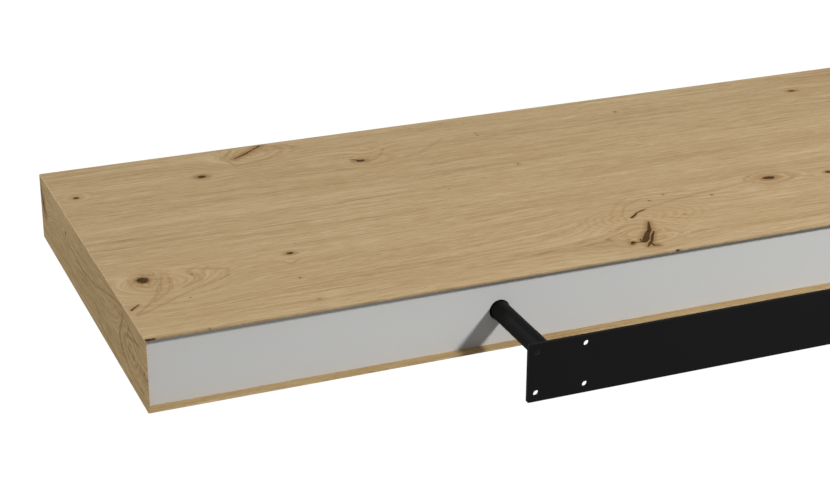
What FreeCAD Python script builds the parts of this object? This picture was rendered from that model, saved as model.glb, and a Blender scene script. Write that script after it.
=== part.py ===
import FreeCAD, Part
import Sketcher
import os

# Floating wall shelf with a hidden steel bracket.
# Origin: middle of the bracket plate's wall face.  +X along the shelf, +Y towards the wall, +Z up.
# The shelf board is drawn part-way off its two rods, with a gap between it and the bracket plate.

doc = FreeCAD.newDocument("wall_shelf")

SIZES = [
    ("shelf_length", 800, "shelf length along X"),
    ("shelf_depth", 250, "shelf depth along Y"),
    ("shelf_height", 42, "shelf thickness along Z"),
    ("edge_round", 0.5, "radius of the outer edges"),
    ("skin", 1, "thickness of the oak laminate"),
    ("board", 3, "thickness of the hardboard under the top and bottom laminate"),
    ("recess", 6, "depth of the back panel below the lips"),
    ("panel", 2, "thickness of the back panel"),
    ("rail", 22, "width of the frame strips"),
    ("block_width", 60, "width of a bored rod block"),
    ("rib_width", 20, "width of the middle rib"),
    ("rod_spacing", 400, "distance between the two rods"),
    ("rod_radius", 5.5, "rod radius"),
    ("rod_length", 150, "rod length in front of the plate"),
    ("rod_chamfer", 1, "chamfer at the rod tip"),
    ("bore_radius", 6.1, "radius of the panel hole and of the bore behind it"),
    ("bore_end", 156, "depth of the bore below the lips"),
    ("plate_length", 438, "bracket plate length"),
    ("plate_height", 33, "bracket plate height"),
    ("plate_thick", 2, "bracket plate thickness"),
    ("plate_corner", 0.8, "radius of the plate corners"),
    ("hole_radius", 1.75, "screw hole radius"),
    ("hole_step_x", 28, "distance between the hole columns"),
    ("hole_step_z", 23.5, "distance between the hole rows"),
    ("weld", 1.6, "leg of the weld around a rod"),
    ("gap", 68, "distance from the plate to the shelf's back plane as drawn"),
]

sheet = doc.addObject("Spreadsheet::Sheet", "Sizes")
for row, (alias, value, meaning) in enumerate(SIZES, start=1):
    sheet.set("A%d" % row, meaning)
    sheet.set("B%d" % row, str(value))
    sheet.setAlias("B%d" % row, alias)
doc.recompute()

# Derived places, as expressions of the sheet
BACK = "(0 - Sizes.plate_thick - Sizes.gap)"
INNER_LENGTH = "(Sizes.shelf_length - 2 * Sizes.skin)"
INNER_HEIGHT = "(Sizes.shelf_height - 2 * Sizes.skin)"
FRAME_HEIGHT = "(Sizes.shelf_height - 2 * Sizes.skin - 2 * Sizes.board)"
FRAME_BACK = "(%s - Sizes.recess - Sizes.panel)" % BACK
CORE_BACK = "(%s - Sizes.rail)" % FRAME_BACK
FRAME_FRONT = "(%s - Sizes.shelf_depth + Sizes.skin)" % BACK
CORE_FRONT = "(%s + Sizes.rail)" % FRAME_FRONT
BLOCK_INSIDE = "(Sizes.rod_spacing / 2 - Sizes.block_width / 2)"
BLOCK_OUTSIDE = "(Sizes.rod_spacing / 2 + Sizes.block_width / 2)"
END_INSIDE = "(Sizes.shelf_length / 2 - Sizes.skin - Sizes.rail)"

made = []


def bind(item, path, formula):
    item.setExpression(path, formula)


def new_body(label):
    body = doc.addObject("PartDesign::Body", label)
    body.Label = label
    return body


def origin_plane(body, role):
    for item in body.Origin.OriginFeatures:
        if item.Role == role:
            return item
    raise ValueError(role)


def attach(body, sketch, role):
    sketch.AttachmentSupport = (origin_plane(body, role), [""])
    sketch.MapMode = "FlatFace"


def add_sketch(body, label, role):
    sketch = body.newObject("Sketcher::SketchObject", label)
    attach(body, sketch, role)
    return sketch


def rectangle(sketch, width, height):
    """A rectangle about the sketch origin, its two sizes bound to formulas."""
    corners = [(-10, -5), (10, -5), (10, 5), (-10, 5)]
    for i in range(4):
        x1, y1 = corners[i]
        x2, y2 = corners[(i + 1) % 4]
        line = Part.LineSegment(FreeCAD.Vector(x1, y1, 0), FreeCAD.Vector(x2, y2, 0))
        sketch.addGeometry(line, False)
    for i in range(4):
        sketch.addConstraint(Sketcher.Constraint("Coincident", i, 2, (i + 1) % 4, 1))
    sketch.addConstraint(Sketcher.Constraint("Horizontal", 0))
    sketch.addConstraint(Sketcher.Constraint("Horizontal", 2))
    sketch.addConstraint(Sketcher.Constraint("Vertical", 1))
    sketch.addConstraint(Sketcher.Constraint("Vertical", 3))
    sketch.addConstraint(Sketcher.Constraint("Symmetric", 0, 1, 1, 2, -1, 1))
    wide = sketch.addConstraint(Sketcher.Constraint("DistanceX", 0, 1, 0, 2, 20))
    tall = sketch.addConstraint(Sketcher.Constraint("DistanceY", 1, 1, 1, 2, 10))
    sketch.renameConstraint(wide, "Wide")
    sketch.renameConstraint(tall, "Tall")
    bind(sketch, "Constraints.Wide", width)
    bind(sketch, "Constraints.Tall", height)


def pad(body, sketch, label, length):
    feature = body.newObject("PartDesign::Pad", label)
    feature.Profile = sketch
    bind(feature, "Length", length)
    sketch.Visibility = False
    return feature


def place(item, x=None, y=None, z=None):
    for axis, formula in (("x", x), ("y", y), ("z", z)):
        if formula is not None:
            bind(item, ".Placement.Base.%s" % axis, formula)


def block(label, x_low, x_high, y_low, y_high, height):
    """A plain rectangular piece, centred on Z = 0, between bound X and Y limits."""
    body = new_body(label)
    sketch = add_sketch(body, label + "_plan", "XY_Plane")
    rectangle(sketch, "%s - %s" % (x_high, x_low), "%s - %s" % (y_high, y_low))
    pad(body, sketch, label + "_pad", height)
    middle_x = "(%s + %s) / 2" % (x_low, x_high)
    middle_y = "(%s + %s) / 2" % (y_low, y_high)
    place(body, middle_x, middle_y, "0 - %s / 2" % height)
    made.append(body)
    return body


def circle_pocket(body, label, centre_x, centre_z, radius, start, depth):
    """Bore along Y from local Y = start towards -Y."""
    sketch = add_sketch(body, label + "_circle", "XZ_Plane")
    bind(sketch, ".AttachmentOffset.Base.z", "0 - %s" % start)
    sketch.addGeometry(Part.Circle(FreeCAD.Vector(7, 9, 0), FreeCAD.Vector(0, 0, 1), 3), False)
    across = sketch.addConstraint(Sketcher.Constraint("DistanceX", -1, 1, 0, 3, 7))
    upward = sketch.addConstraint(Sketcher.Constraint("DistanceY", -1, 1, 0, 3, 9))
    round_size = sketch.addConstraint(Sketcher.Constraint("Radius", 0, 3))
    sketch.renameConstraint(across, "Across")
    sketch.renameConstraint(upward, "Upward")
    sketch.renameConstraint(round_size, "RoundSize")
    bind(sketch, "Constraints.Across", centre_x)
    bind(sketch, "Constraints.Upward", centre_z)
    bind(sketch, "Constraints.RoundSize", radius)
    pocket = body.newObject("PartDesign::Pocket", label)
    pocket.Profile = sketch
    pocket.Reversed = True
    bind(pocket, "Length", depth)
    sketch.Visibility = False
    return pocket


# ---- bracket: plate, two rods, two welds ----------------------------------------------------

plate = new_body("bracket_plate")
outline = add_sketch(plate, "plate_outline", "XZ_Plane")
rectangle(outline, "Sizes.plate_length", "Sizes.plate_height")
pad(plate, outline, "plate_pad", "Sizes.plate_thick")
doc.recompute()


def edge_names(shape, wanted):
    """Names of the edges whose every corner point passes the test."""
    names = []
    for number, edge in enumerate(shape.Edges, start=1):
        if wanted([vertex.Point for vertex in edge.Vertexes]):
            names.append("Edge%d" % number)
    return names


flat = plate.Tip
corners = edge_names(flat.Shape, lambda p: abs(p[0].y - p[-1].y) > 0.1)
rounded = plate.newObject("PartDesign::Fillet", "plate_corner_round")
rounded.Base = (flat, corners)
bind(rounded, "Radius", "Sizes.plate_corner")
doc.recompute()

holes = add_sketch(plate, "plate_holes", "XZ_Plane")
count = 0
for side_x in (-1, 1):
    for side_z in (-1, 1):
        spot = FreeCAD.Vector(200 + 14 * side_x, 10 * side_z, 0)
        holes.addGeometry(Part.Circle(spot, FreeCAD.Vector(0, 0, 1), 2), False)
        across = holes.addConstraint(Sketcher.Constraint("DistanceX", -1, 1, count, 3, spot.x))
        holes.renameConstraint(across, "Across%d" % count)
        sign = "+" if side_x > 0 else "-"
        bind(holes, "Constraints.Across%d" % count,
             "Sizes.rod_spacing / 2 %s Sizes.hole_step_x / 2" % sign)
        if side_z > 0:
            ends = (-1, 1, count, 3)
        else:
            ends = (count, 3, -1, 1)
        upward = holes.addConstraint(Sketcher.Constraint("DistanceY", *ends, 10))
        holes.renameConstraint(upward, "Upward%d" % count)
        bind(holes, "Constraints.Upward%d" % count, "Sizes.hole_step_z / 2")
        size = holes.addConstraint(Sketcher.Constraint("Radius", count, 2))
        holes.renameConstraint(size, "RoundSize%d" % count)
        bind(holes, "Constraints.RoundSize%d" % count, "Sizes.hole_radius")
        count += 1
screws = plate.newObject("PartDesign::Pocket", "screw_holes")
screws.Profile = holes
screws.Type = 1
screws.Reversed = True
holes.Visibility = False
doc.recompute()
mirror = plate.newObject("PartDesign::Mirrored", "screw_holes_other_end")
mirror.Originals = [screws]
mirror.MirrorPlane = (origin_plane(plate, "YZ_Plane"), [""])
plate.Tip = mirror
place(plate, y="0")
made.append(plate)

for side, name in ((-1, "left"), (1, "right")):
    sign = "" if side > 0 else "0 - "
    rod = new_body("rod_" + name)
    section = add_sketch(rod, "rod_%s_circle" % name, "XZ_Plane")
    section.addGeometry(Part.Circle(FreeCAD.Vector(0, 0, 0), FreeCAD.Vector(0, 0, 1), 4), False)
    section.addConstraint(Sketcher.Constraint("Coincident", 0, 3, -1, 1))
    size = section.addConstraint(Sketcher.Constraint("Radius", 0, 4))
    section.renameConstraint(size, "RoundSize")
    bind(section, "Constraints.RoundSize", "Sizes.rod_radius")
    pad(rod, section, "rod_%s_pad" % name, "Sizes.rod_length")
    doc.recompute()
    far = 0.1 - sheet.rod_length
    plain = rod.Tip
    tips = edge_names(plain.Shape, lambda p: max(q.y for q in p) < far)
    tip = rod.newObject("PartDesign::Chamfer", "rod_%s_tip" % name)
    tip.Base = (plain, tips)
    bind(tip, "Size", "Sizes.rod_chamfer")
    place(rod, sign + "Sizes.rod_spacing / 2", "0 - Sizes.plate_thick", "0")
    made.append(rod)

    ring = doc.addObject("Part::Cone", "weld_%s_cone" % name)
    bind(ring, "Radius1", "Sizes.rod_radius + Sizes.weld")
    bind(ring, "Radius2", "Sizes.rod_radius + 0.1")
    bind(ring, "Height", "Sizes.weld")
    core = doc.addObject("Part::Cylinder", "weld_%s_core" % name)
    bind(core, "Radius", "Sizes.rod_radius")
    bind(core, "Height", "Sizes.weld")
    weld = doc.addObject("Part::Cut", "weld_" + name)
    weld.Base = ring
    weld.Tool = core
    weld.Label = "weld_" + name
    weld.Placement = FreeCAD.Placement(FreeCAD.Vector(0, 0, 0),
                                       FreeCAD.Rotation(FreeCAD.Vector(1, 0, 0), 90))
    place(weld, sign + "Sizes.rod_spacing / 2", "0 - Sizes.plate_thick", "0")
    made.append(weld)

# ---- oak laminate: five mitred skins cut from one rounded outline ---------------------------

outer = new_body("shelf_outline")
plan = add_sketch(outer, "outline_plan", "XY_Plane")
rectangle(plan, "Sizes.shelf_length", "Sizes.shelf_depth")
pad(outer, plan, "outline_pad", "Sizes.shelf_height")
doc.recompute()
wall_side = sheet.shelf_depth / 2 - 0.1
sharp = outer.Tip
edges = edge_names(sharp.Shape, lambda p: min(q.y for q in p) < wall_side)
soft = outer.newObject("PartDesign::Fillet", "outline_round")
soft.Base = (sharp, edges)
bind(soft, "Radius", "Sizes.edge_round")
place(outer, y="%s - Sizes.shelf_depth / 2" % BACK, z="0 - Sizes.shelf_height / 2")

HALF_X = "Sizes.shelf_length / 2"
HALF_Z = "Sizes.shelf_height / 2"
DEEP = "Sizes.shelf_depth"


def limits(full, low, high, low_out, high_out):
    """A wedge side: low and high limits on the outer face, and one skin less on the inner face.

    low_out and high_out tell which of the two ends is mitred."""
    if full:
        return low, high
    low_in = "%s + Sizes.skin" % low if low_out else low
    high_in = "%s - Sizes.skin" % high if high_out else high
    return low_in, high_in


def skin(label, across, along, outer_last, turn, x, y, z):
    """A mitred sheet: across = (low, high, mitred, mitred) in local X, along = the same in Z."""
    wedge = doc.addObject("Part::Wedge", label + "_sheet")
    bind(wedge, "Ymin", "0")
    bind(wedge, "Ymax", "Sizes.skin")
    first_full = not outer_last
    x1, x2 = limits(first_full, *across)
    z1, z2 = limits(first_full, *along)
    x3, x4 = limits(outer_last, *across)
    z3, z4 = limits(outer_last, *along)
    names = ("Xmin", "Xmax", "Zmin", "Zmax", "X2min", "X2max", "Z2min", "Z2max")
    for name, formula in zip(names, (x1, x2, z1, z2, x3, x4, z3, z4)):
        bind(wedge, name, formula)
    wedge.Placement = FreeCAD.Placement(FreeCAD.Vector(0, 0, 0), turn)
    place(wedge, x, y, z)
    piece = doc.addObject("Part::Common", label)
    piece.Base = wedge
    piece.Tool = outer
    piece.Label = label
    made.append(piece)
    return piece


UPWARD = FreeCAD.Rotation(FreeCAD.Vector(1, 0, 0), 90)
SIDEWAYS = FreeCAD.Rotation(FreeCAD.Vector(0, 0, 1), -90)
STRAIGHT = FreeCAD.Rotation()
LONG = ("0 - " + HALF_X, HALF_X, True, True)
TALL = ("0 - " + HALF_Z, HALF_Z, True, True)
DEPTH = ("0", DEEP, False, True)

skin("top_skin", LONG, DEPTH, True, UPWARD, None, BACK, "Sizes.shelf_height / 2 - Sizes.skin")
skin("bottom_skin", LONG, DEPTH, False, UPWARD, None, BACK, "0 - Sizes.shelf_height / 2")
skin("front_skin", LONG, TALL, False, STRAIGHT, None, "%s - %s" % (BACK, DEEP), None)
skin("end_skin_right", DEPTH, TALL, True, SIDEWAYS, "Sizes.shelf_length / 2 - Sizes.skin", BACK, None)
skin("end_skin_left", DEPTH, TALL, False, SIDEWAYS, "0 - Sizes.shelf_length / 2", BACK, None)

# ---- boards, frame strips, bored blocks and paper core inside the skins ----------------------

IN_LOW = "(0 - %s / 2)" % INNER_LENGTH
IN_HIGH = "(%s / 2)" % INNER_LENGTH

back_panel = block("back_panel", IN_LOW, IN_HIGH, FRAME_BACK,
                   "(%s - Sizes.recess)" % BACK, INNER_HEIGHT)
doc.recompute()
first = circle_pocket(back_panel, "panel_hole", "Sizes.rod_spacing / 2",
                      "%s / 2" % INNER_HEIGHT, "Sizes.bore_radius", "Sizes.panel / 2",
                      "Sizes.panel")
doc.recompute()
second = back_panel.newObject("PartDesign::Mirrored", "panel_hole_other_end")
second.Originals = [first]
second.MirrorPlane = (origin_plane(back_panel, "YZ_Plane"), [""])
back_panel.Tip = second

for name, side in (("top", 1), ("bottom", -1)):
    sign = "" if side > 0 else "0 - "
    board = block(name + "_board", IN_LOW, IN_HIGH, FRAME_FRONT, FRAME_BACK, "Sizes.board")
    centre = "%s(%s / 2 + Sizes.board / 2)" % (sign, FRAME_HEIGHT)
    place(board, z="%s - Sizes.board / 2" % centre)

block("front_rail", IN_LOW, IN_HIGH, FRAME_FRONT, CORE_FRONT, FRAME_HEIGHT)
block("back_rail_middle", "(0 - %s)" % BLOCK_INSIDE, BLOCK_INSIDE, CORE_BACK, FRAME_BACK,
      FRAME_HEIGHT)
block("middle_rib", "(0 - Sizes.rib_width / 2)", "(Sizes.rib_width / 2)", CORE_FRONT, CORE_BACK,
      FRAME_HEIGHT)

for side, name in ((-1, "left"), (1, "right")):
    spans = {
        "back_rail": (BLOCK_OUTSIDE, IN_HIGH, CORE_BACK, FRAME_BACK),
        "end_rail": (END_INSIDE, IN_HIGH, CORE_FRONT, CORE_BACK),
        "rod_block": (BLOCK_INSIDE, BLOCK_OUTSIDE, CORE_FRONT, FRAME_BACK),
        "core": (BLOCK_OUTSIDE, END_INSIDE, CORE_FRONT, CORE_BACK),
        "core_middle": ("(Sizes.rib_width / 2)", BLOCK_INSIDE, CORE_FRONT, CORE_BACK),
    }
    for kind, (low, high, front, back) in spans.items():
        if side < 0:
            low, high = "(0 - %s)" % high, "(0 - %s)" % low
        piece = block("%s_%s" % (kind, name), low, high, front, back, FRAME_HEIGHT)
        if kind == "rod_block":
            doc.recompute()
            circle_pocket(piece, "bore_" + name, "0", "%s / 2" % FRAME_HEIGHT,
                          "Sizes.bore_radius", "(%s - %s) / 2" % (FRAME_BACK, CORE_FRONT),
                          "Sizes.bore_end - Sizes.recess - Sizes.panel")

# ---- recompute, test every object, write every piece ------------------------------------------

doc.recompute()
for item in doc.Objects:
    for state in ("Invalid", "Error"):
        if state in item.State:
            raise RuntimeError("%s is %s" % (item.Name, state))
    if hasattr(item, "Shape") and item in made:
        if item.Shape.isNull() or not item.Shape.isValid():
            raise RuntimeError("%s has a bad shape" % item.Name)
        if len(item.Shape.Solids) != 1:
            raise RuntimeError("%s isn't one solid" % item.Name)

os.makedirs("parts", exist_ok=True)
for item in made:
    item.Shape.exportStep("parts/%s.step" % item.Label)
    box = item.Shape.BoundBox
    print("%-18s %9.0f mm3  x %7.2f %7.2f  y %8.2f %8.2f  z %6.2f %6.2f" % (
        item.Label, item.Shape.Volume, box.XMin, box.XMax, box.YMin, box.YMax, box.ZMin,
        box.ZMax))
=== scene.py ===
import bpy
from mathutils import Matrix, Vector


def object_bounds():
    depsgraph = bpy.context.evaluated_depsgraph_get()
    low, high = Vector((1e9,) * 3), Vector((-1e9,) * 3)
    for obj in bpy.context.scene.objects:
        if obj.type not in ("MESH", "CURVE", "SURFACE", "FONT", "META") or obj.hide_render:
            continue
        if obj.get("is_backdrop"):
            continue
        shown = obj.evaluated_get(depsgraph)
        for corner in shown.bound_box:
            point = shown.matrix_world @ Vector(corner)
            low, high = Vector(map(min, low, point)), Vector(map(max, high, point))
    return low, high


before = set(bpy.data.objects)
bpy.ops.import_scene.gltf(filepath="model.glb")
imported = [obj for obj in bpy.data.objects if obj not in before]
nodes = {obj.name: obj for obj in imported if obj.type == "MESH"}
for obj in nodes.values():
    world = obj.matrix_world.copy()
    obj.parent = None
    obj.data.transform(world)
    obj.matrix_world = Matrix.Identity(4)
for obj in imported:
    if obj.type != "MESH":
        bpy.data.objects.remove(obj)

import inspect
import math
from mathutils import Matrix, Vector

loaded_box = [list(corner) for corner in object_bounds()]
scene = bpy.context.scene
scene.view_settings.view_transform = "Standard"
scene.view_settings.look = "None"

# ---- sizes of the shelf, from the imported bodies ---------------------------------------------

MM_PER_METRE = 1000.0


def corner_in_mm(pick):
    """The lowest (pick is min) or highest (pick is max) corner of the laminated faces together."""
    corners = [corner for name, node in nodes.items() if "skin" in name for corner in node.bound_box]
    return [round(pick(corner[axis] for corner in corners) * MM_PER_METRE, 3) for axis in range(3)]


HALF_LENGTH, BACK_Y, TOP_Z = corner_in_mm(max)
_, FRONT_Y, BOTTOM_Z = corner_in_mm(min)
LENGTH = 2 * HALF_LENGTH
DEPTH = BACK_Y - FRONT_Y
HEIGHT = TOP_Z - BOTTOM_Z


# ---- helpers for shader nodes ---------------------------------------------------------------

def linear(red, green, blue):
    """An everyday 0 to 255 colour as the linear colour that a shader wants."""
    out = []
    for level in (red, green, blue):
        c = level / 255
        out.append(c / 12.92 if c <= 0.04045 else ((c + 0.055) / 1.055) ** 2.4)
    return (*out, 1.0)


class Value:
    """A number that varies over the surface. Sums and products of values add Math nodes."""

    def __init__(self, tree, socket):
        self.tree = tree
        self.socket = socket

    def math(self, kind, *others):
        node = self.tree.nodes.new("ShaderNodeMath")
        node.operation = kind
        for slot, item in zip(node.inputs, (self, *others)):
            feed(self.tree, item, slot)
        return Value(self.tree, node.outputs[0])

    def __add__(self, other):
        return self.math("ADD", other)

    def __sub__(self, other):
        return self.math("SUBTRACT", other)

    def __mul__(self, other):
        return self.math("MULTIPLY", other)

    def __truediv__(self, other):
        return self.math("DIVIDE", other)

    def __rsub__(self, other):
        return self * -1.0 + other

    def size(self):
        return self.math("ABSOLUTE")

    def root(self):
        return self.math("SQRT")

    def least(self, other):
        return self.math("MINIMUM", other)

    def most(self, other):
        return self.math("MAXIMUM", other)

    def limit(self):
        return self.most(0.0).least(1.0)

    def step(self, low, high, to_low=0.0, to_high=1.0):
        """A smooth change from to_low at low to to_high at high."""
        node = self.tree.nodes.new("ShaderNodeMapRange")
        node.interpolation_type = "SMOOTHSTEP"
        node.clamp = False  # a clamp here overfills the renderer's stack, and this curve stays in range
        for slot, item in zip(node.inputs, (self, low, high, to_low, to_high)):
            feed(self.tree, item, slot)
        return Value(self.tree, node.outputs[0])


def feed(tree, item, slot):
    if isinstance(item, Value):
        tree.links.new(item.socket, slot)
    else:
        slot.default_value = item


def vector(tree, x, y, z):
    node = tree.nodes.new("ShaderNodeCombineXYZ")
    for slot, item in zip(node.inputs, (x, y, z)):
        feed(tree, item, slot)
    return node.outputs[0]


def noise(tree, x, y, z=0.0, detail=2.0, roughness=0.5):
    """Smooth noise between about -1 and 1."""
    node = tree.nodes.new("ShaderNodeTexNoise")
    node.noise_dimensions = "3D"
    node.inputs["Scale"].default_value = 1.0
    node.inputs["Detail"].default_value = detail
    node.inputs["Roughness"].default_value = roughness
    tree.links.new(vector(tree, x, y, z), node.inputs["Vector"])
    return Value(tree, node.outputs[0]) * 2.0 - 1.0


def mix(tree, share, first, second):
    """A colour between two colours; share is a Value, the colours are tuples or sockets."""
    node = tree.nodes.new("ShaderNodeMix")
    node.data_type = "RGBA"
    node.clamp_factor = True
    feed(tree, share, node.inputs["Factor"])
    for name, colour in (("A", first), ("B", second)):
        slot = [s for s in node.inputs if s.name == name and s.type == "RGBA"][0]
        if isinstance(colour, tuple):
            slot.default_value = colour
        else:
            tree.links.new(colour, slot)
    return [s for s in node.outputs if s.type == "RGBA"][0]


def ramp(tree, value, *colours):
    """Evenly spaced colours from value 0 to value 1."""
    node = tree.nodes.new("ShaderNodeValToRGB")
    band = node.color_ramp
    while len(band.elements) < len(colours):
        band.elements.new(0.5)
    for i, (element, colour) in enumerate(zip(band.elements, colours)):
        element.position = i / (len(colours) - 1)
        element.color = colour
    tree.links.new(value.socket, node.inputs[0])
    return node.outputs["Color"]


def material(name):
    made = bpy.data.materials.new(name)
    made.use_nodes = True
    tree = made.node_tree
    shader = tree.nodes["Principled BSDF"]
    return made, tree, shader


def place_in_mm(tree):
    """The three coordinates of the piece itself, in millimetres of the row frame."""
    source = tree.nodes.new("ShaderNodeTexCoord").outputs["Object"]
    split = tree.nodes.new("ShaderNodeSeparateXYZ")
    tree.links.new(source, split.inputs[0])
    return [Value(tree, split.outputs[i]) * MM_PER_METRE for i in range(3)]


def bump(tree, shader, height, distance):
    """Fine relief in the normals; distance is in metres."""
    node = tree.nodes.new("ShaderNodeBump")
    node.inputs["Strength"].default_value = 1.0
    node.inputs["Distance"].default_value = distance
    tree.links.new(height.socket, node.inputs["Height"])
    tree.links.new(node.outputs[0], shader.inputs["Normal"])


def group(build, outputs):
    """A node group made by build, which gets its inputs as Values and returns its outputs."""
    made = bpy.data.node_groups.new(build.__name__, "ShaderNodeTree")
    for label in inspect.signature(build).parameters:
        made.interface.new_socket(name=label, in_out="INPUT", socket_type="NodeSocketFloat")
    for label in outputs.split():
        made.interface.new_socket(name=label, in_out="OUTPUT", socket_type="NodeSocketFloat")
    entry = made.nodes.new("NodeGroupInput")
    results = build(*[Value(made, slot) for slot in entry.outputs if slot.name])
    leave = made.nodes.new("NodeGroupOutput")
    for item, slot in zip(results, leave.inputs):
        made.links.new(item.socket, slot)
    return made


def use(tree, build, *items):
    """The outputs of build's group for these inputs. Groups keep the script quick."""
    node = tree.nodes.new("ShaderNodeGroup")
    node.node_tree = GROUPS[build]
    for slot, item in zip(node.inputs, items):
        feed(tree, item, slot)
    return [Value(tree, slot) for slot in node.outputs]


# ---- marks in the oak -------------------------------------------------------------------------
# Lengths are in millimetres: u runs along the grain and v across it. low, rough and fine are
# noises of falling size that make the shapes uneven.

def push_apart(u, v, flow, at_u, at_v, push, stretch):
    """Grain lines that part to go round a point."""
    du = (u - at_u) / stretch
    dv = v - at_v
    return [flow - dv * (push * push) / (du * du + dv * dv + push * push * 0.6)]


def swell(u, v, flow, at_u, at_v, long, wide, lift):
    """Grain lines that are lifted sideways in an oval area."""
    du = (u - at_u) / long
    dv = (v - at_v) / wide
    return [flow + (du * du + dv * dv).math("MULTIPLY", -1.0).math("EXPONENT") * lift]


def swirl(u, v, low, rough, tone, warm, at_u, at_v, left, right, wide, pitch, strength):
    """Rings round a point, which reach left, right and wide from it and fade out there."""
    du = u - at_u + low * 3.0
    du = du.most(0.0) / right + du.least(0.0) / left
    dv = (v - at_v + rough) / wide
    away = (du * du + dv * dv).root()
    share = away.step(0.45, 1.0, 1.0, 0.0)
    wave = (away * wide / pitch * math.tau + rough * 0.9).math("SINE")
    return [tone + wave * share * strength, warm.most(share * 0.2)]


def knot(u, v, rough, fine, dark, brown, at_u, at_v, core, halo, squash, tint, outline, rim_tint):
    """A dark core in a brown halo, with a broken rim at the outline radius."""
    du = (u - at_u) / squash
    dv = v - at_v
    away = (du * du + dv * dv).root() + (rough * 0.28 + fine * 0.3) * core
    inside = away.step(core * 0.6, core * 1.1, 1.0, 0.0)
    around = away.step(core * 0.9, halo, tint * 0.75, 0.0)
    rim = (away + rough * 2.4 - outline).size().step(0.2, outline * 0.15 + 0.5, rim_tint, 0.0)
    rim = rim * (fine * 0.9 + rough * 0.9 + 0.75).limit()
    gap = (away - outline * 0.72).size().step(0.0, outline * 0.2 + 0.01, rim_tint, 0.0)
    return [dark.most(inside), brown.most(around - gap * around).most(rim)]


def dot(u, v, fine, dark, brown, at_u, at_v, radius, strength):
    du = u - at_u
    dv = v - at_v
    away = (du * du + dv * dv).root() + fine * 0.4 * radius
    inside = away.step(radius * 0.3, radius * 1.25, strength, 0.0)
    around = away.step(radius * 0.8, radius * 3.2, strength * 0.45, 0.0)
    return [dark.most(inside), brown.most(around)]


def segment(u, v, best, u1, v1, w1, u2, v2, w2):
    """The distance to a straight piece that tapers from half width w1 to w2, or best if less."""
    du, dv = u2 - u1, v2 - v1
    off_u, off_v = u - u1, v - v1
    along = ((off_u * du + off_v * dv) / (du * du + dv * dv)).limit()
    off_u = off_u - along * du
    off_v = off_v - along * dv
    return [best.least((off_u * off_u + off_v * off_v).root() - w1 - along * (w2 - w1))]


def crack(away, rough, fine, dark, brown, reach, shade):
    away = away + rough * 0.35 + fine * 0.4
    return [dark.most(away.step(-0.3, 0.3, 1.0, 0.0)), brown.most(away.step(0.0, reach, shade, 0.0))]


def soft_line(away, low, rough, brown, reach, shade):
    away = (away + rough * 1.1 + low * 1.2).size()
    return [brown.most(away.step(0.1, reach * 0.8, shade * (rough * 0.8 + 0.75), 0.0))]


GROUPS = {
    push_apart: group(push_apart, "flow"),
    swell: group(swell, "flow"),
    swirl: group(swirl, "tone warm"),
    knot: group(knot, "dark brown"),
    dot: group(dot, "dark brown"),
    segment: group(segment, "away"),
    crack: group(crack, "dark brown"),
    soft_line: group(soft_line, "brown"),
}


def near_line(tree, u, v, points):
    """Distance to a bent line of points (u, v, half width), less the half width there."""
    best = 99.0
    for start, end in zip(points, points[1:]):
        best = use(tree, segment, u, v, best, *start, *end)[0]
    return best


# ---- oak ----------------------------------------------------------------------------------------

OAK_SHADES = (linear(131, 104, 68), linear(161, 137, 101), linear(184, 163, 129))
# A lighter copy of the oak tones for the end faces, which are the same laminate: painted light on the
# ends.
END_SHADES = (linear(118, 91, 52), linear(166, 139, 96), linear(197, 173, 131))
# A lighter copy of the oak tones for the bottom skin, the same laminate: painted light on the ledge
# inside the recess.
LIP_SHADES = (linear(142, 112, 70), linear(182, 152, 106), linear(202, 178, 134))
OAK_PINK = linear(160, 130, 91)
# The colour of the painted highlight and wear along the edges of the oak faces.
OAK_EDGE = linear(196, 170, 130)
OAK_BROWN = linear(124, 87, 44)
KNOT_OLIVE = linear(92, 67, 32)
KNOT_BLACK = linear(26, 18, 4)

# A layer of noise is (rate along, rate across, seed step, detail, roughness), with rates per mm.
BEND = (0.011, 0.03, 0.0, 2.0, 0.5)
LOW = (0.06, 0.13, 3.0, 2.0, 0.5)
BAND = (0.003, 0.05, 7.0, 2.0, 0.5)
RING = (0.006, 0.17, 11.0, 1.0, 0.5)
THREAD = (0.006, 0.42, 13.0, 2.0, 0.6)
LINE = (0.014, 0.75, 17.0, 2.0, 0.7)
FIBRE = (0.07, 1.1, 23.0, 3.0, 0.75)
PORE = (0.28, 1.1, 27.0, 1.0, 0.5)
CLEAR = (0.01, 0.03, 29.0, 1.0, 0.5)
ROUGH = (0.35, 0.35, 31.0, 2.0, 0.6)
FINE = (1.1, 1.1, 37.0, 2.0, 0.6)
WARM = (0.008, 0.035, 43.0, 2.0, 0.5)
VEIN = (0.0035, 0.085, 51.0, 1.0, 0.5)

# Where a face ends, as (low u, high u, low v, high v); an edge put OPEN mm past the face gets no painted
# highlight and wear.
OPEN = 9.0
NO_EDGES = (-OPEN, LENGTH + OPEN, -OPEN, LENGTH + OPEN)


def layer(u, v, seed, kind):
    along, across, step, detail, roughness = kind
    return noise(u.tree, u * along, v * across, seed + step, detail, roughness)


def grain_flow(u, v, seed, low, knots, swells):
    """How the grain lines run: v, bent by slow noise, parted by knots and lifted by swells."""
    flow = v + layer(u, v, seed, BEND) * 5.0
    flow = flow + low * 0.6
    for item in knots:
        flow = use(u.tree, push_apart, u, v, flow, *item[:4])[0]
    for item in swells:
        flow = use(u.tree, swell, u, v, flow, *item)[0]
    return flow


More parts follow.
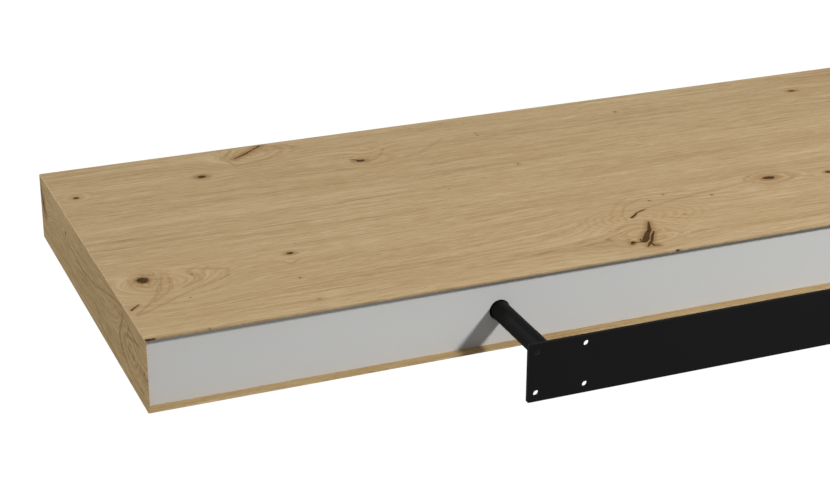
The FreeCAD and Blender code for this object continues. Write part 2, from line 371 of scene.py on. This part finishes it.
def grain_tone(u, v, seed, flow):
    """Bands, rings, threads, lines and fibres along the flow, less pores and veins; about 0 to 1."""
    line = layer(u, flow, seed, LINE)
    fibre = layer(u, flow, seed, FIBRE)
    vein = layer(u, flow, seed, VEIN).size().step(0.0, 0.06, 1.0, 0.0)
    pore = layer(u, flow, seed, PORE).step(0.2, 0.5)
    clear = layer(u, v, seed, CLEAR).step(-0.3, 0.3, 0.45, 1.0)
    rings = layer(u, flow, seed, RING) * 0.18 + layer(u, flow, seed, THREAD) * 0.36
    tone = layer(u, flow, seed, BAND) * 0.2 + rings * clear + line * 0.4 + fibre * 0.66
    return tone - pore * 0.2 - vein * clear * 0.1 + 0.6, line, fibre


def marks(u, v, low, rough, fine, knots, dots, cracks, lines):
    """How dark it is inside knots and cracks, and how brown around them, from 0 to 1."""
    tree = u.tree
    dark, brown = 0.0, 0.0
    for at_u, at_v, push, stretch, core, halo, squash, tint, outline in knots:
        if core:
            rim_tint = 0.5 * tint if outline else 0.0
            dark, brown = use(tree, knot, u, v, rough, fine, dark, brown, at_u, at_v, core, halo,
                              squash, tint, outline, rim_tint)
    for item in dots:
        dark, brown = use(tree, dot, u, v, fine, dark, brown, *item)
    for points, reach, shade in cracks:
        away = near_line(tree, u, v, points)
        dark, brown = use(tree, crack, away, rough, fine, dark, brown, reach, shade)
    for points, reach, shade in lines:
        away = near_line(tree, u, v, points)
        brown = use(tree, soft_line, away, low, rough, brown, reach, shade)[0]
    return dark, brown


def edge_wear(u, v, rough, edges):
    """How much lighter the laminate is beside the edges of its face: a painted highlight along the edges,
    together with wear.
    """
    low_u, high_u, low_v, high_v = edges
    near = (u - low_u).least(high_u - u).least((v - low_v).least(high_v - v))
    return (near + rough * 0.15).step(0.3, 0.8, 0.35, 0.0)


def oak(name, u_of, v_of, seed, knots=(), swells=(), swirls=(), cracks=(), dots=(), lines=(),
        shades=OAK_SHADES, edges=NO_EDGES):
    made, tree, shader = material(name)
    place = place_in_mm(tree)
    u = u_of(*place)
    v = v_of(*place)
    low = layer(u, v, seed, LOW)
    rough = layer(u, v, seed, ROUGH)
    fine = layer(u, v, seed, FINE)

    flow = grain_flow(u, v, seed, low, knots, swells)
    tone, line, fibre = grain_tone(u, v, seed, flow)
    warm = layer(u, v, seed, WARM).step(0.0, 0.5, 0.0, 0.25)
    for item in swirls:
        tone, warm = use(tree, swirl, u, v, low, rough, tone, warm, *item)
    colour = ramp(tree, tone, *shades)
    colour = mix(tree, warm, colour, OAK_PINK)

    dark, brown = marks(u, v, low, rough, fine, knots, dots, cracks, lines)
    colour = mix(tree, brown * (fibre * 0.5 + 0.95), colour, OAK_BROWN)
    speck = (fine * 2.4 + rough * 0.6 + 0.58).limit()
    deep = mix(tree, speck * dark.step(0.4, 1.0, 0.5, 1.0), KNOT_OLIVE, KNOT_BLACK)
    colour = mix(tree, dark.step(0.0, 0.75), colour, deep)
    # The lighter band along the face edges is a painted highlight together with wear.
    colour = mix(tree, edge_wear(u, v, rough, edges), colour, OAK_EDGE)

    tree.links.new(colour, shader.inputs["Base Color"])
    tree.links.new((fibre * 0.1 + 0.56).socket, shader.inputs["Roughness"])
    shader.inputs["Specular IOR Level"].default_value = 0.1
    bump(tree, shader, fibre * 0.6 + line * 0.3 - dark * 2.0, 0.00004)
    return made


# ---- the marks on each face -----------------------------------------------------------------------

# A knot is (u, v, push, stretch, core, halo, squash, tint, outline radius or 0). Without a core it
# only bends the grain.
top_knots = [
    (18, 71, 10, 1.6, 4.3, 9.0, 0.9, 0.9, 8.6),
    (103.5, 76.5, 4.5, 2.4, 1.7, 5.0, 1.3, 0.8, 0),
    (12, 202, 6, 2.2, 1.7, 4.0, 1.25, 0.5, 0),
    (91.5, 208, 6, 2.0, 2.3, 6.5, 1.25, 0.95, 0),
    (192, 198, 7, 2.0, 1.9, 6.0, 1.7, 0.9, 0),
    (414, 77, 8, 1.9, 2.7, 8.0, 1.7, 0.8, 9.0),
    (454, 72, 5, 2.0, 2.0, 4.5, 1.3, 0.8, 0),
    (519, 215, 5, 2.2, 1.5, 4.5, 1.9, 0.95, 0),
    (300, 24, 14, 1.8, 0, 0, 1, 0, 0),
    (128, 236, 12, 1.8, 0, 0, 1, 0, 0),
    (642, 96.5, 9, 1.8, 3.0, 8.0, 1.2, 0.8, 8.5),
    (719, 191.5, 6, 2.0, 1.8, 5.0, 1.4, 0.8, 0),
]
# A swell is (u, v, long, wide, lift): it bends the grain lines sideways.
top_swells = [
    (29, 57, 26, 20, 22),
    (300, 54, 34, 20, -15),
    (125, 231, 20, 12, 14),
    (200, 211, 16, 9, 8),
    (424, 71.5, 22, 9, -7),
    (100, 64, 5, 4, 4),
]
# A swirl is (u, v, reach to the left, reach to the right, reach across, ring pitch, strength).
top_swirls = [
    (310, 50, 50, 60, 28, 2.8, 0.10),
    (12, 203, 14, 16, 13, 5.0, 0.10),
    (20, 66, 18, 50, 20, 6.0, 0.09),
    (130, 236, 26, 42, 26, 5.0, 0.12),
    (194, 199, 16, 40, 20, 5.5, 0.10),
    (414, 76, 24, 40, 15, 4.0, 0.12),
]
# A crack is its points (u, v, half width), the reach of the brown beside it and the strength of that.
top_cracks = [
    ([(3, 36.5, 0.6), (8, 41.5, 0.4)], 2.0, 0.4),
    ([(311, 42, 0.35), (308.5, 37, 0.85), (305.5, 31, 1.25), (301.5, 26.5, 1.5),
      (298, 21, 2.0), (295, 17.5, 1.6)], 4.0, 0.65),
    ([(307, 28.5, 0.5), (303, 23, 0.8), (299.5, 17, 0.75), (297, 14.5, 0.9),
      (293.5, 10.5, 0.4)], 3.0, 0.65),
    ([(297.5, 14, 0.6), (297.5, 10.5, 0.6), (300, 10, 0.4)], 4.0, 0.8),
    ([(294.5, 21.5, 0.3), (293, 17.5, 0.4), (289, 18, 0.4), (288.5, 18.5, 1.5),
      (286.5, 16.5, 0.7)], 3.0, 0.6),
    ([(305, 51.5, 0.8), (308, 53.5, 0.7), (311.5, 57, 0.5), (315, 58.5, 0.6),
      (319.5, 60.5, 0.1)], 2.0, 0.35),
    ([(119.5, 230.5, 0.4), (128.5, 236.5, 0.8), (134.5, 241.5, 0.4), (141, 247, 0.7)], 6.0, 0.65),
    ([(187.5, 201.5, 0.4), (191, 199, 0.8)], 2.5, 0.5),
    ([(306, 0, 0.45), (308.5, 0.5, 0.1)], 1.2, 0.4),
    ([(0.5, 0, 0.35), (5.5, 0, 0.1)], 1.2, 0.4),
]
# A line is the same, but soft and brown all over.
top_lines = [
    ([(29.5, 74.5, 0.3), (23.5, 56.5, 0.5), (17, 44.5, 0.4), (3.5, 28.5, 0.3)], 1.6, 0.45),
    ([(32, 75.5, 0.3), (32, 66, 0.4), (29.5, 55, 0.5), (16.5, 41.5, 0.3)], 1.5, 0.4),
    ([(34, 78, 0.2), (41.5, 76, 0.3), (47.5, 69.5, 0.4), (48, 60.5, 0.4), (36, 54.5, 0.2)], 1.6, 0.35),
    ([(40, 79, 0.2), (65.5, 69.5, 0.5), (62, 60, 0.5), (38, 48.5, 0.4), (4.5, 28, 0.3)], 1.8, 0.4),
    ([(300, 47.5, 0.3), (301, 56.5, 0.3), (310, 69, 0.3), (324.5, 76, 0.3)], 1.5, 0.35),
    ([(294, 54, 0.3), (298, 63, 0.3), (307, 73.5, 0.3), (316, 79.5, 0.2)], 1.4, 0.25),
    ([(321, 61.5, 0.3), (334, 65, 0.4), (361.5, 70.5, 0.4), (400, 76, 0.3)], 2.0, 0.4),
    ([(121, 244.5, 0.2), (113.5, 234.5, 0.3), (116, 218, 0.3), (138, 222.5, 0.4),
      (151, 233, 0.4)], 1.8, 0.4),
    ([(136, 238, 1.5), (153, 240.5, 2.5), (162, 236, 1.5)], 4.0, 0.4),
    ([(193, 191.5, 0.3), (206, 201.5, 0.4), (213, 212.5, 0.4), (205, 220, 0.2)], 1.8, 0.35),
    ([(196, 188, 0.3), (230.5, 196.5, 0.4), (254, 214.5, 0.3)], 1.8, 0.3),
    ([(97, 67, 0.3), (99.5, 62.5, 0.4), (104, 64.5, 0.3)], 1.5, 0.4),
]
# A dot is (u, v, radius, strength).
top_dots = [
    (281.5, 156.5, 0.9, 0.6), (224.5, 133, 0.7, 0.4), (279, 213.5, 0.7, 0.6), (279.5, 218, 0.7, 0.6),
    (384, 221, 0.9, 0.8), (327.5, 71, 0.9, 0.6), (340, 76.5, 0.8, 0.6), (367, 65.5, 0.9, 0.7),
    (403, 83, 0.7, 0.6), (336.5, 44, 0.9, 0.4), (98, 43, 0.8, 0.6), (36, 40.5, 0.5, 0.7),
    (111, 88.5, 0.5, 0.4), (198, 87, 0.5, 0.4), (98.5, 13.5, 1.6, 0.3), (45, 69, 0.8, 0.45),
    (243, 242.5, 0.8, 0.35), (34.5, 0.5, 0.5, 0.8), (561, 141, 0.9, 0.5), (692, 62, 0.8, 0.6),
]

right_knots = [
    (243, 16, 6, 1.8, 0, 0, 1, 0, 0),
    (181, 12.5, 2.5, 2.0, 0.8, 2.5, 1.4, 0.7, 0),
    (48, 18, 7, 1.5, 0, 0, 1, 0, 0),
]
right_swells = [(40, 20, 16, 9, 9), (230, 20, 12, 10, -6)]
right_cracks = [
    ([(246.5, 9, 0.3), (245, 15, 0.7), (241.5, 19, 0.9), (238.5, 22, 0.4)], 7.0, 0.7),
    ([(240, 12, 0.2), (242, 17, 0.6)], 4.0, 0.5),
]
right_lines = [
    ([(44, 4, 0.3), (47.5, 10.5, 0.4), (55, 19.5, 0.5), (52, 28, 0.4), (34, 34, 0.4),
      (7, 34, 0.3)], 1.3, 0.8),
    ([(32, 7, 0.3), (37, 14, 0.4), (22, 10.5, 0.4), (12, 9, 0.3)], 1.3, 0.65),
    ([(41, 21, 0.3), (24, 21, 0.4), (0, 23, 0.3)], 1.3, 0.6),
    ([(190, 16, 0.3), (136.5, 18.5, 0.4), (108, 15.5, 0.4), (76.5, 7, 0.3), (46, 1, 0.3)], 1.4, 0.5),
    ([(110, 27, 0.3), (96, 37, 0.3), (58, 40, 0.3)], 1.5, 0.5),
]
right_swirls = [(28, 20, 26, 40, 18, 4.2, 0.16), (240, 18, 18, 14, 14, 4.0, 0.1)]
right_dots = [(3.5, 21, 1.3, 0.6)]

left_knots = [(70, 24, 5, 1.9, 1.7, 4.5, 1.4, 0.9, 0), (190, 10, 4, 2.0, 1.3, 3.5, 1.4, 0.8, 0)]
left_swells = [(80, 20, 18, 9, 8)]
left_swirls = [(72, 22, 20, 30, 14, 4.5, 0.1)]

front_knots = [(330, 268, 6, 2.0, 1.8, 5.0, 1.4, 0.8, 0), (610, 277, 5, 2.0, 1.4, 4.0, 1.4, 0.8, 0)]
front_dots = [(120, 262, 0.9, 0.6), (480, 275, 0.8, 0.6)]

bottom_knots = [
    (90, 60, 8, 1.8, 2.4, 7.0, 1.3, 0.8, 0),
    (265, 170, 9, 1.8, 3.0, 8.0, 1.2, 0.8, 8.0),
    (430, 40, 5, 2.2, 1.6, 4.5, 1.5, 0.8, 0),
    (560, 205, 8, 1.8, 2.2, 7.0, 1.3, 0.9, 7.5),
    (705, 110, 10, 1.7, 3.1, 9.0, 1.2, 0.8, 9.0),
]
bottom_swells = [(250, 180, 26, 16, 16), (720, 95, 24, 18, -18)]
bottom_swirls = [(270, 172, 24, 50, 20, 5.0, 0.1), (700, 108, 40, 26, 22, 5.5, 0.1)]
bottom_cracks = [([(700, 108, 0.5), (712, 118, 0.7), (718, 128, 0.3)], 3.0, 0.5)]
bottom_dots = [(180, 120, 0.8, 0.6), (350, 90, 0.9, 0.6), (610, 60, 0.8, 0.6), (480, 150, 1.0, 0.6)]

# The top and the front share a seed and one u, so the grain runs on over their common edge.
TOP_SEED = 4.0
oak_top = oak("oak_top", lambda x, y, z: HALF_LENGTH - x, lambda x, y, z: BACK_Y - y, TOP_SEED,
              top_knots, top_swells, top_swirls, top_cracks, top_dots, top_lines,
              edges=(0.0, LENGTH, -OPEN, DEPTH))
oak_front = oak("oak_front", lambda x, y, z: HALF_LENGTH - x, lambda x, y, z: DEPTH + TOP_Z - z, TOP_SEED,
                front_knots, dots=front_dots)
# The bottom skin takes the lighter copy of the oak tones, which is painted light on the ledge.
oak_bottom = oak("oak_bottom", lambda x, y, z: x + HALF_LENGTH, lambda x, y, z: BACK_Y - y, 61.0,
                 bottom_knots, bottom_swells, bottom_swirls, bottom_cracks, bottom_dots,
                 shades=LIP_SHADES)
# Both ends take the lighter copy of the oak tones, which is painted light.
oak_end_right = oak("oak_end_right", lambda x, y, z: BACK_Y - y, lambda x, y, z: TOP_Z - z, 33.0,
                    right_knots, right_swells, right_swirls, right_cracks, right_dots, right_lines,
                    END_SHADES, (-OPEN, DEPTH, 0.0, HEIGHT))
oak_end_left = oak("oak_end_left", lambda x, y, z: y - FRONT_Y, lambda x, y, z: TOP_Z - z, 47.0,
                   left_knots, left_swells, left_swirls, shades=END_SHADES,
                   edges=(0.0, DEPTH + OPEN, 0.0, HEIGHT))


# ---- plain finishes -----------------------------------------------------------------------------

def painted_panel():
    made, tree, shader = material("panel_grey")
    x, y, z = place_in_mm(tree)
    grain = noise(tree, x * 0.9, z * 0.9, 2.0, 3.0, 0.7)
    cloud = noise(tree, x * 0.02, z * 0.05, 5.0, 2.0)
    share = grain * 0.3 + cloud * 0.15 + 0.5
    colour = ramp(tree, share, linear(197, 197, 195), linear(206, 206, 204))
    tree.links.new(colour, shader.inputs["Base Color"])
    tree.links.new((grain * 0.06 + 0.55).socket, shader.inputs["Roughness"])
    shader.inputs["Specular IOR Level"].default_value = 0.3
    bump(tree, shader, grain, 0.00001)
    return made


def powder_black(name, low, high, shine):
    """Black powder coat, between two grey levels from 0 to 255."""
    made, tree, shader = material(name)
    x, y, z = place_in_mm(tree)
    peel = noise(tree, x * 1.6, y * 1.6, z * 1.6, 3.0, 0.6)
    wide = noise(tree, x * 0.03, y * 0.03, z * 0.03, 2.0)
    share = peel * 0.3 + wide * 0.3 + 0.5
    colour = ramp(tree, share, linear(low, low, low), linear(high, high, high))
    tree.links.new(colour, shader.inputs["Base Color"])
    tree.links.new((peel * 0.08 + 0.56).socket, shader.inputs["Roughness"])
    shader.inputs["Specular IOR Level"].default_value = shine
    bump(tree, shader, peel, 0.00003)
    return made


def pressed_board(name, dark, light, rate):
    """Bare board or paper: mottled chips in two browns, about one per 1 / rate mm."""
    made, tree, shader = material(name)
    x, y, z = place_in_mm(tree)
    chips = noise(tree, x * rate, y * rate, z * rate, 4.0, 0.7)
    colour = ramp(tree, chips * 0.7 + 0.5, dark, light)
    tree.links.new(colour, shader.inputs["Base Color"])
    shader.inputs["Roughness"].default_value = 0.85
    bump(tree, shader, chips, 0.0001)
    return made


panel_grey = painted_panel()
plate_black = powder_black("powder_black", 13, 19, 0.15)
# The rods wear the same powder coat as the plate; their darker grey levels are painted shade against the
# light that falls on them.
rod_black = powder_black("rod_black", 7, 11, 0.1)
hardboard = pressed_board("hardboard", linear(92, 66, 42), linear(130, 98, 66), 0.8)
chipboard = pressed_board("chipboard", linear(150, 118, 80), linear(206, 178, 134), 0.35)
paper = pressed_board("paper", linear(140, 112, 80), linear(176, 148, 112), 0.5)

OAK_FACES = {
    "top_skin": oak_top,
    "bottom_skin": oak_bottom,
    "front_skin": oak_front,
    "end_skin_right": oak_end_right,
    "end_skin_left": oak_end_left,
}


def finish_of(name):
    """The material of a piece and the name of its slot."""
    if name in OAK_FACES:
        return OAK_FACES[name], "oak_laminate"
    if name == "back_panel":
        return panel_grey, "back_panel"
    if name.endswith("_board"):
        return hardboard, "hardboard"
    if name.startswith("core"):
        return paper, "paper_core"
    if name in ("rod_left", "rod_right"):
        return rod_black, "black_steel"
    if name.startswith(("weld", "bracket")):
        return plate_black, "black_steel"
    return chipboard, "frame_wood"


for name, node in nodes.items():
    look, slot_name = finish_of(name)
    node.data.materials.clear()
    node.data.materials.append(look)

# ---- floor and backdrop -------------------------------------------------------------------------
# The camera sees both as white. Everything else gets only a soft light from them.

SEEN = 1.02
SOFT = 0.3
FLOOR_Z = -6
FLOOR_SIZE = 120


def white_floor():
    made = bpy.data.materials.new("floor_white")
    made.use_nodes = True
    tree = made.node_tree
    tree.nodes.clear()
    path = tree.nodes.new("ShaderNodeLightPath")
    chosen = tree.nodes.new("ShaderNodeMixShader")
    tree.links.new(path.outputs["Is Camera Ray"], chosen.inputs[0])
    for i, strength in ((1, SOFT), (2, SEEN)):
        glow = tree.nodes.new("ShaderNodeEmission")
        glow.inputs["Strength"].default_value = strength
        tree.links.new(glow.outputs[0], chosen.inputs[i])
    out = tree.nodes.new("ShaderNodeOutputMaterial")
    tree.links.new(chosen.outputs[0], out.inputs["Surface"])
    return made


def white_world():
    made = bpy.data.worlds.new("studio")
    made.use_nodes = True
    tree = made.node_tree
    back = tree.nodes["Background"]
    back.inputs["Color"].default_value = (1, 1, 1, 1)
    path = tree.nodes.new("ShaderNodeLightPath")
    strength = tree.nodes.new("ShaderNodeMapRange")
    tree.links.new(path.outputs["Is Camera Ray"], strength.inputs[0])
    strength.inputs["To Min"].default_value = SOFT
    strength.inputs["To Max"].default_value = SEEN
    tree.links.new(strength.outputs[0], back.inputs["Strength"])
    return made


bpy.ops.mesh.primitive_plane_add(size=FLOOR_SIZE, location=(0, 0, FLOOR_Z))
floor = bpy.context.active_object
floor.name = "floor"
floor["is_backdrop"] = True
floor.data.materials.append(white_floor())
scene.world = white_world()

# ---- lights, in metres --------------------------------------------------------------------------

TARGET = Vector((0.15, -0.16, 0.0))


def area_light(name, direction, distance, size, level):
    """A round lamp aimed at TARGET. A white surface there that faces it has the brightness level.

    P watts at d metres give the irradiance P / (pi d d), and white sends on 1 / pi of it.
    """
    data = bpy.data.lights.new(name, "AREA")
    data.shape = "DISK"
    data.size = size
    data.energy = level * math.pi ** 2 * distance ** 2
    lamp = bpy.data.objects.new(name, data)
    scene.collection.objects.link(lamp)
    aim = Vector(direction).normalized()
    lamp.location = TARGET + aim * distance
    lamp.rotation_mode = "QUATERNION"
    lamp.rotation_quaternion = aim.to_track_quat("Z", "Y")


area_light("key", (-0.634, 1.0, 0.755), 1.6, 0.16, 0.785)
area_light("fill", (0.6, -0.35, 0.72), 8.0, 4.0, 0.75)

# ---- camera, at the photograph's viewing angle ----------------------------------------------------

FOCAL = 1892.8  # focal length in pixels of a picture WIDTH pixels wide
WIDTH = 830
SENSOR_MM = 36.0
PITCH = 0.4031  # radians below level
TURN = 0.3916  # radians from facing along -Y, towards -X
ROLL = -0.0037
EYE = (0.6009, 0.7732, 0.4410)


def photo_camera():
    data = bpy.data.cameras.new("camera")
    data.sensor_fit = "HORIZONTAL"
    data.sensor_width = SENSOR_MM
    data.lens = FOCAL / WIDTH * SENSOR_MM
    data.clip_start = 0.05
    data.clip_end = 200
    camera = bpy.data.objects.new("camera", data)
    scene.collection.objects.link(camera)
    level_ahead = Vector((-math.sin(TURN), -math.cos(TURN), 0))
    ahead = level_ahead * math.cos(PITCH) - Vector((0, 0, math.sin(PITCH)))
    level_right = Vector((-math.cos(TURN), math.sin(TURN), 0))
    level_up = level_right.cross(ahead)
    right = level_right * math.cos(ROLL) - level_up * math.sin(ROLL)
    up = level_up * math.cos(ROLL) + level_right * math.sin(ROLL)
    axes = Matrix((right, up, -ahead)).transposed().to_4x4()
    camera.matrix_world = Matrix.Translation(EYE) @ axes
    return camera


scene.camera = photo_camera()

shown_box = [list(corner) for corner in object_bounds()]
